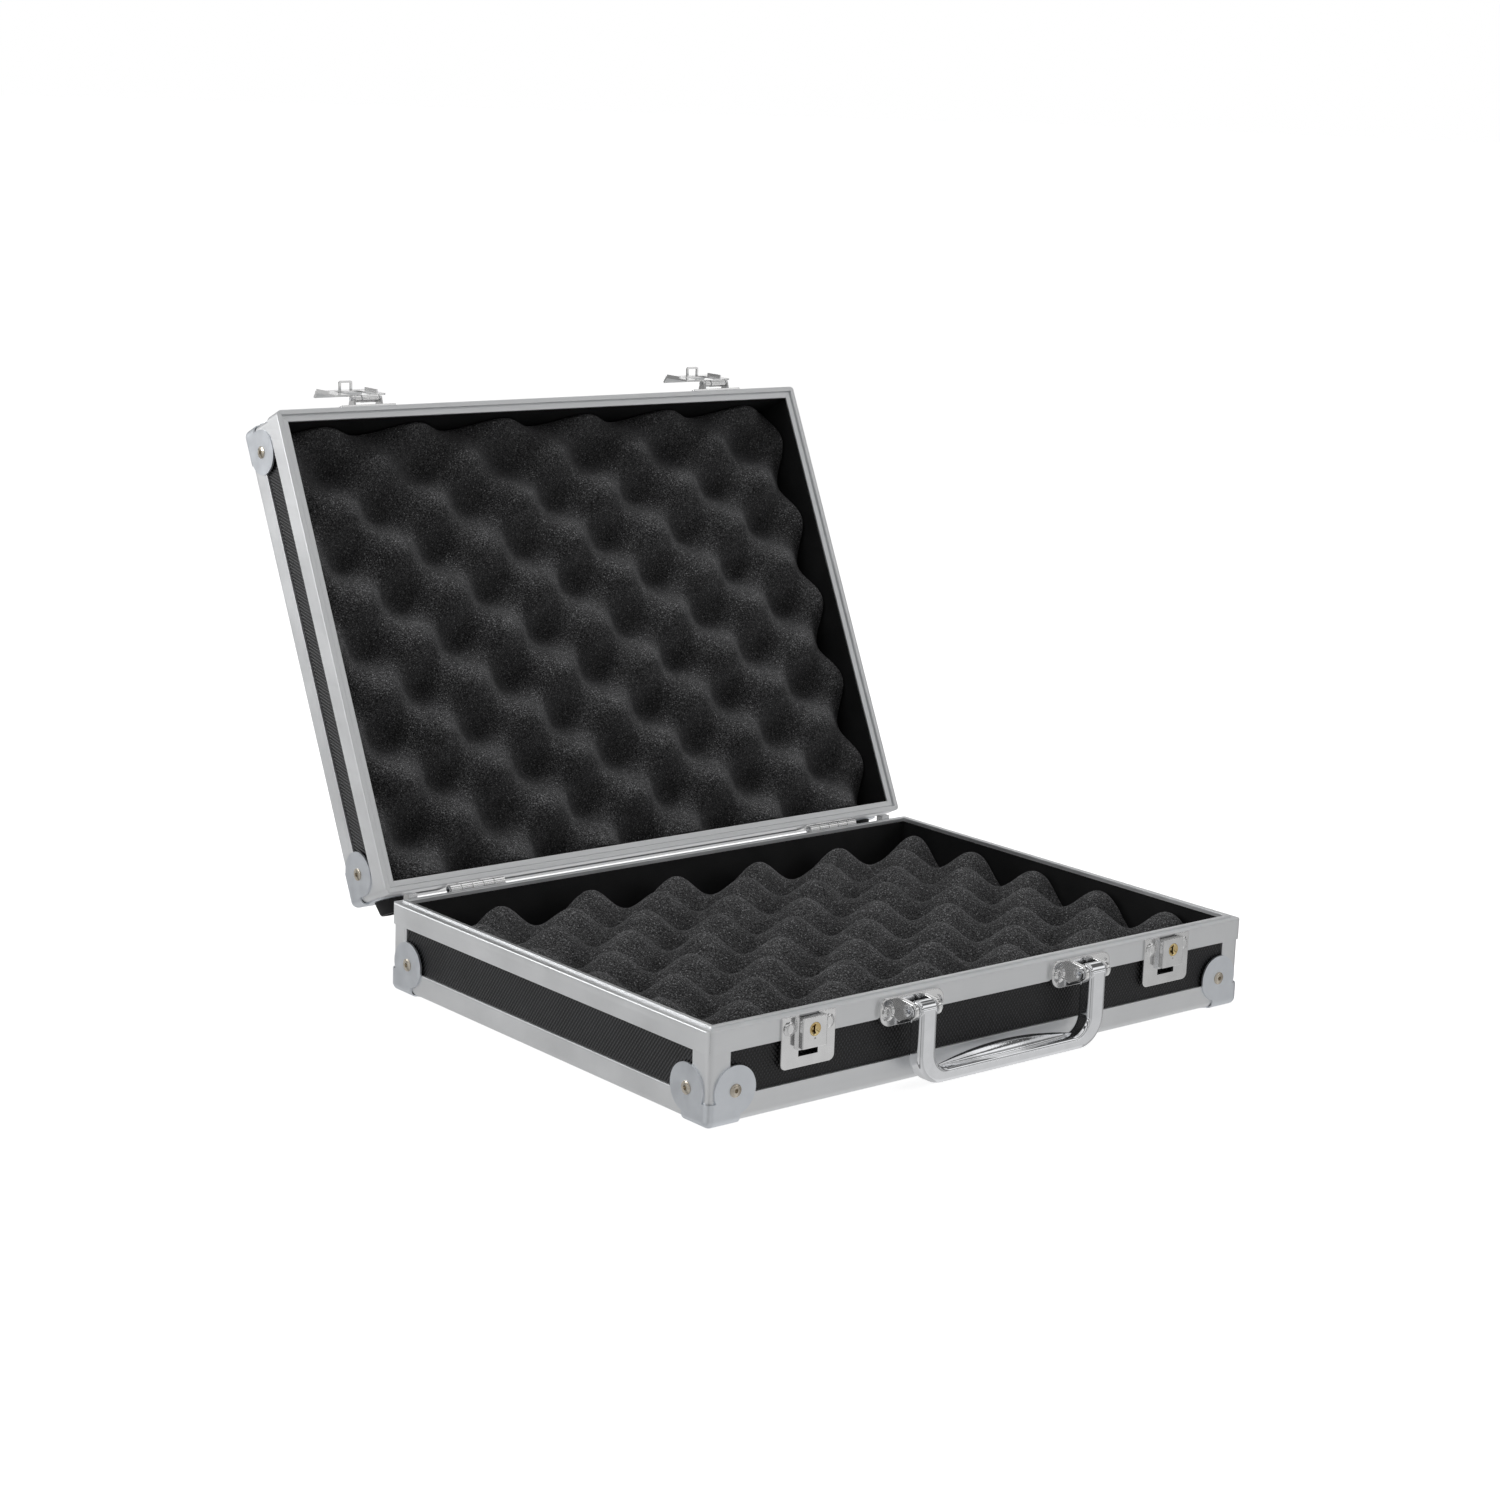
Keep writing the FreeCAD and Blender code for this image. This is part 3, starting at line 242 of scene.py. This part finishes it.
def charcoal_foam():
    """Open-cell foam: matte charcoal, pitted all over, with painted glints where cell walls would catch the
    light.

    The mesh's crest attribute, 0 in the valleys and 1 on the peaks, paints shade into the valleys and a
    little light onto the peaks.
    """
    m = Material("charcoal_foam", Roughness=0.95, Specular_IOR_Level=0.2, Sheen_Weight=0.12,
                 Sheen_Roughness=0.5)
    m.shader.inputs["Sheen Tint"].default_value = (0.6, 0.6, 0.62, 1)
    cells = m.add("TexVoronoi", {"Vector": m.place(), "Scale": 1100.0, "Randomness": 1.0})
    fine = m.noise(m.place(), 1300.0, 3.0, 0.7)
    patches = m.noise(m.place(), 60.0, 4.0, 0.6)
    # bright specks on chosen cells are painted into the colour: painted glints where cell walls would catch
    # the light
    near = m.spread(cells.outputs["Distance"], 1.0, 0.0, 0.05, 0.5)
    chosen = m.math("GREATER_THAN", m.add("SeparateColor", {0: cells.outputs["Color"]}).outputs[0], 0.8)
    painted_glint_specks = m.math("MULTIPLY", near, chosen)
    crest = m.add("Attribute", attribute_name="crest").outputs["Fac"]
    base = m.math("ADD", m.spread(patches, 0.23, 0.39), m.spread(fine, -0.40, 0.52))
    tone = m.math("ADD", base, m.math("MULTIPLY", painted_glint_specks, 0.8))
    # the crest attribute scales the tone: painted shade in the valleys, a little painted light on the peaks
    ramp = m.add("ValToRGB", {"Fac": m.math("MULTIPLY", tone, m.spread(crest, 0.76, 1.08, 0.0, 1.0))})
    ramp.color_ramp.elements[0].position, ramp.color_ramp.elements[0].color = 0.12, (0.010, 0.010, 0.0105, 1)
    ramp.color_ramp.elements[1].position, ramp.color_ramp.elements[1].color = 1.0, (0.22, 0.22, 0.225, 1)
    middle = ramp.color_ramp.elements.new(0.5)
    middle.color = (0.060, 0.060, 0.061, 1)
    m.set("Base Color", ramp.outputs[0])
    pits = m.bump(cells.outputs["Distance"], 0.0006, 0.8)
    m.bump(fine, 0.0005, 0.9, pits)
    return m.material


def black_rubber():
    m = Material("black_rubber", Roughness=0.6, Specular_IOR_Level=0.4)
    m.tint(m.noise(m.place(), 120.0), (0.008, 0.008, 0.009), (0.016, 0.016, 0.017))
    m.bump(m.noise(m.place(), 1800.0, 2.0), 0.00006, 0.5)
    return m.material


def pale_floor():
    """White paper lit from below as well, so that it stays paler than the shadows on it."""
    m = Material("pale_floor", Roughness=0.8)
    m.shader.inputs["Base Color"].default_value = (0.62, 0.62, 0.62, 1)
    m.shader.inputs["Emission Color"].default_value = (1, 1, 1, 1)
    m.shader.inputs["Emission Strength"].default_value = FLOOR_GLOW
    return m.material


LID_TURN = (LID_OPEN, 0, 0)
ALUMINIUM = {
    "base_x": extruded_aluminium("aluminium_x", (0, 0, 0), "X"),
    "base_y": extruded_aluminium("aluminium_y", (0, 0, 0), "Y"),
    "base_z": extruded_aluminium("aluminium_z", (0, 0, 0), "Z"),
    "lid_y": extruded_aluminium("aluminium_lid_y", LID_TURN, "Y"),
    "lid_z": extruded_aluminium("aluminium_lid_z", LID_TURN, "Z"),
}
ALUMINIUM["lid_x"] = ALUMINIUM["base_x"]
CAP = zinc_cap()
CHROME = plated("chrome", (0.84, 0.85, 0.87), (0.90, 0.91, 0.93), 0.05, 0.09, 0.00008)
NICKEL = plated("nickel", (0.80, 0.80, 0.80), (0.87, 0.87, 0.87), 0.12, 0.18, 0.00005)
RIVET = plated("rivet", (0.56, 0.50, 0.41), (0.72, 0.67, 0.58), 0.18, 0.28, 0.00005)
BRASS = plated("brass", (0.70, 0.52, 0.24), (0.86, 0.70, 0.38), 0.12, 0.20, 0.00005)
X, Y, Z = range(3)
LAMINATE = {
    "front": ribbed_laminate("laminate_front", (0, 0, 0), X, Z, 1.0),
    "side": ribbed_laminate("laminate_side", (0, 0, 0), Y, Z, 0.35),
    "flat": ribbed_laminate("laminate_flat", (0, 0, 0), X, Y, 1.0),
    "lid_front": ribbed_laminate("laminate_lid_front", LID_TURN, X, Z, 1.0),
    "lid_side": ribbed_laminate("laminate_lid_side", LID_TURN, Y, Z, 0.35),
    "lid_flat": ribbed_laminate("laminate_lid_flat", LID_TURN, X, Y, 1.0),
}
LINING = black_lining()
FOAM = charcoal_foam()
RUBBER = black_rubber()


def paint(name, material):
    slots = nodes[name].data.materials
    slots.clear()
    slots.append(material)


def material_for(name):
    """The material of a CAD node, by what its name says it is."""
    tray = "lid" if name.startswith("lid_") else "base"
    if name.endswith(("_front_rim", "_back_rim")):
        return ALUMINIUM[tray + "_x"]
    if name.endswith(("_left_rim", "_right_rim")):
        return ALUMINIUM[tray + "_y"]
    if name.endswith("_edges"):
        return ALUMINIUM[tray + "_x"]
    if name.endswith("_posts"):
        return ALUMINIUM[tray + "_z"]
    if name.endswith("_panel"):
        face = "front"
        if name.endswith(("_left_panel", "_right_panel")):
            face = "side"
        elif name.endswith(("_top_panel", "_bottom_panel")):
            face = "flat"
        return LAMINATE[face if tray == "base" else "lid_" + face]
    if name.endswith("_caps"):
        return CAP
    if name.endswith("_cap_rivets"):
        return RIVET
    if name.endswith("_lining"):
        return LINING
    if name.endswith("_feet"):
        return RUBBER
    if name.startswith("key_plug"):
        return BRASS
    if name == "handle" or name.endswith("pins"):
        return CHROME
    return NICKEL


for node_name in nodes:
    paint(node_name, material_for(node_name))


# ---- egg-crate foam -----------------------------------------------------------------------------------
def egg_crate(name, low, high, peak, valley_depth, back_fade, seed):
    """A foam block from low to high whose top is an egg-crate surface; peaks reach high.z.

    peak is where one peak stands, relative to the block's middle; the waves die away over back_fade towards
    the back edge. The crest attribute is 0 in the valleys and 1 on the peaks.
    """
    columns = round((high.x - low.x) / GRID)
    rows = round((high.y - low.y) / GRID)
    middle = (low + high) / 2
    vertices, crests = [], []
    for j in range(rows + 1):
        for i in range(columns + 1):
            x = low.x + (high.x - low.x) * i / columns
            y = low.y + (high.y - low.y) * j / rows
            wander = noise.noise(Vector((x * WANDER_SCALE, y * WANDER_SCALE, seed))) * WANDER
            u = math.pi * (x + wander - middle.x - peak[0]) / (FOAM_PITCH_X / 2)
            v = math.pi * (y + wander - middle.y - peak[1]) / (FOAM_PITCH_Y / 2)
            crest = ((math.cos(u) * math.cos(v) + 1) / 2) ** CREST_POWER
            if high.y - y < back_fade:
                crest *= math.sin(math.pi / 2 * (high.y - y) / back_fade)
            level = high.z - valley_depth * (1 - crest)
            level -= abs(noise.noise(Vector((x * UNEVEN_SCALE, y * UNEVEN_SCALE, seed + 5)))) * UNEVEN
            edge = min(x - low.x, high.x - x, y - low.y, high.y - y)
            if edge < EDGE_ROUND:
                level -= EDGE_ROUND - math.sqrt(EDGE_ROUND ** 2 - (EDGE_ROUND - edge) ** 2)
            vertices.append((x, y, level))
            crests.append(crest)
    top_count = len(vertices)
    vertices += [(x, y, low.z) for x, y, _ in vertices]
    crests += [0.0] * top_count
    width = columns + 1
    faces = []
    for j in range(rows):
        for i in range(columns):
            a = j * width + i
            top = (a, a + 1, a + 1 + width, a + width)
            faces.append(top)
            faces.append(tuple(top_count + k for k in reversed(top)))
    ring = list(range(width))
    ring += [j * width + columns for j in range(1, rows + 1)]
    ring += [rows * width + i for i in range(columns - 1, -1, -1)]
    ring += [j * width for j in range(rows - 1, 0, -1)]
    for a, b in zip(ring, ring[1:] + ring[:1]):
        faces.append((a, a + top_count, b + top_count, b))
    mesh = bpy.data.meshes.new(name)
    mesh.from_pydata(vertices, [], faces)
    mesh.polygons.foreach_set("use_smooth", [True] * len(mesh.polygons))
    mesh.attributes.new("crest", "FLOAT", "POINT").data.foreach_set("value", crests)
    mesh.materials.append(FOAM)
    piece = bpy.data.objects.new(name, mesh)
    bpy.context.scene.collection.objects.link(piece)
    return piece


def finish_foam(piece, node, body):
    piece.data.set_sharp_from_angle(angle=SHARP_FROM)
    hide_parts(node)
    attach(piece, body)


base_low, base_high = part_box("base_foam")
base_crate = egg_crate("base_egg_crate", base_low, base_high, BASE_PEAK, BASE_VALLEY, BASE_BACK_FADE, 1.0)
finish_foam(base_crate, "base_foam", "base")

# the lid's block is made shut and upside down, then turned over and swung open
shut_points = [SHUT @ v.co for v in nodes["lid_foam"].data.vertices]
lid_low = Vector(map(min, *shut_points))
lid_high = Vector(map(max, *shut_points))
FLIP = Matrix.Translation((0, 0, lid_low.z + lid_high.z)) @ Matrix.Scale(-1, 4, (0, 0, 1))
lid_crate = egg_crate("lid_egg_crate", lid_low, lid_high, LID_PEAK, LID_VALLEY, GRID, 9.0)
lid_crate.data.transform(OPEN @ FLIP)
lid_crate.data.flip_normals()
finish_foam(lid_crate, "lid_foam", "lid")


# ---- stage, light and camera --------------------------------------------------------------------------
def add_floor():
    """A floor that reflections and bounced light leave out."""
    mesh = bpy.data.meshes.new("floor")
    reach = 40.0
    mesh.from_pydata([(-reach, -reach, 0), (reach, -reach, 0), (reach, reach, 0), (-reach, reach, 0)], [],
                     [(0, 1, 2, 3)])
    mesh.materials.append(pale_floor())
    floor = bpy.data.objects.new("floor", mesh)
    floor.visible_glossy = False
    floor.visible_diffuse = False
    bpy.context.scene.collection.objects.link(floor)


def add_world():
    """A white room as the camera sees it; banded in reflections; even and dimmer on matte surfaces."""
    world = bpy.data.worlds.new("studio")
    world.use_nodes = True
    tree = world.node_tree

    def math_node(operation, *values):
        return add_node(tree, "Math", dict(enumerate(values)), operation=operation).outputs[0]

    def choose(switch, otherwise, value):
        """value where the switch is on, otherwise the other."""
        return math_node("MULTIPLY_ADD", math_node("SUBTRACT", value, otherwise), switch, otherwise)

    def levels(axis, steps):
        """Grey levels along one axis of the room, from -1 to 1."""
        place = add_node(tree, "MapRange", {"Value": axis, "From Min": -1.0}).outputs[0]
        ramp = add_node(tree, "ValToRGB", {"Fac": place})
        elements = ramp.color_ramp.elements
        for position, level in steps[1:-1]:
            elements.new(position).color = (level, level, level, 1)
        for index in (0, -1):
            position, level = steps[index]
            elements[index].position, elements[index].color = position, (level, level, level, 1)
        return ramp.outputs["Color"]

    split = add_node(tree, "SeparateXYZ", {0: add_node(tree, "TexCoord").outputs["Generated"]}).outputs
    banded = math_node("MULTIPLY", levels(split["Z"], ROOM_LEVELS), levels(split["X"], ROOM_SIDES))
    path = add_node(tree, "LightPath").outputs
    level = choose(path["Is Camera Ray"], choose(path["Is Diffuse Ray"], banded, AMBIENT), 1.0)
    tree.links.new(level, tree.nodes["Background"].inputs["Color"])
    bpy.context.scene.world = world


def add_softbox(name, place, aim, size, power, mirrored):
    light = bpy.data.lights.new(name, "AREA")
    light.shape = "RECTANGLE"
    light.size, light.size_y = size
    light.energy = power
    lamp = bpy.data.objects.new(name, light)
    lamp.location = place
    lamp.visible_glossy = mirrored
    lamp.rotation_mode = "QUATERNION"
    lamp.rotation_quaternion = (Vector(aim) - Vector(place)).to_track_quat("-Z", "Y")
    bpy.context.scene.collection.objects.link(lamp)


def add_camera():
    """A long lens from the front left, a little above the case."""
    azimuth, elevation, roll = map(math.radians, (CAMERA_AZIMUTH, CAMERA_ELEVATION, CAMERA_ROLL))
    back = Vector((math.sin(azimuth) * math.cos(elevation), -math.cos(azimuth) * math.cos(elevation),
                   math.sin(elevation)))
    right = Vector((0, 0, 1)).cross(back).normalized()
    up = back.cross(right)
    rolled_right = math.cos(roll) * right - math.sin(roll) * up
    rolled_up = back.cross(rolled_right)
    camera = bpy.data.objects.new("camera", bpy.data.cameras.new("camera"))
    camera.data.lens = CAMERA_LENS
    camera.data.sensor_width = CAMERA_SENSOR
    place = Vector(CAMERA_PLACE) + Vector((0, BASE_MIDDLE_Y, 0))
    camera.matrix_world = Matrix.Translation(place) @ Matrix(
        (rolled_right, rolled_up, back)).transposed().to_4x4()
    bpy.context.scene.collection.objects.link(camera)
    bpy.context.scene.camera = camera


add_floor()
add_world()
for softbox in SOFTBOXES:
    add_softbox(*softbox)
add_camera()
bpy.context.scene.view_settings.view_transform = "Standard"
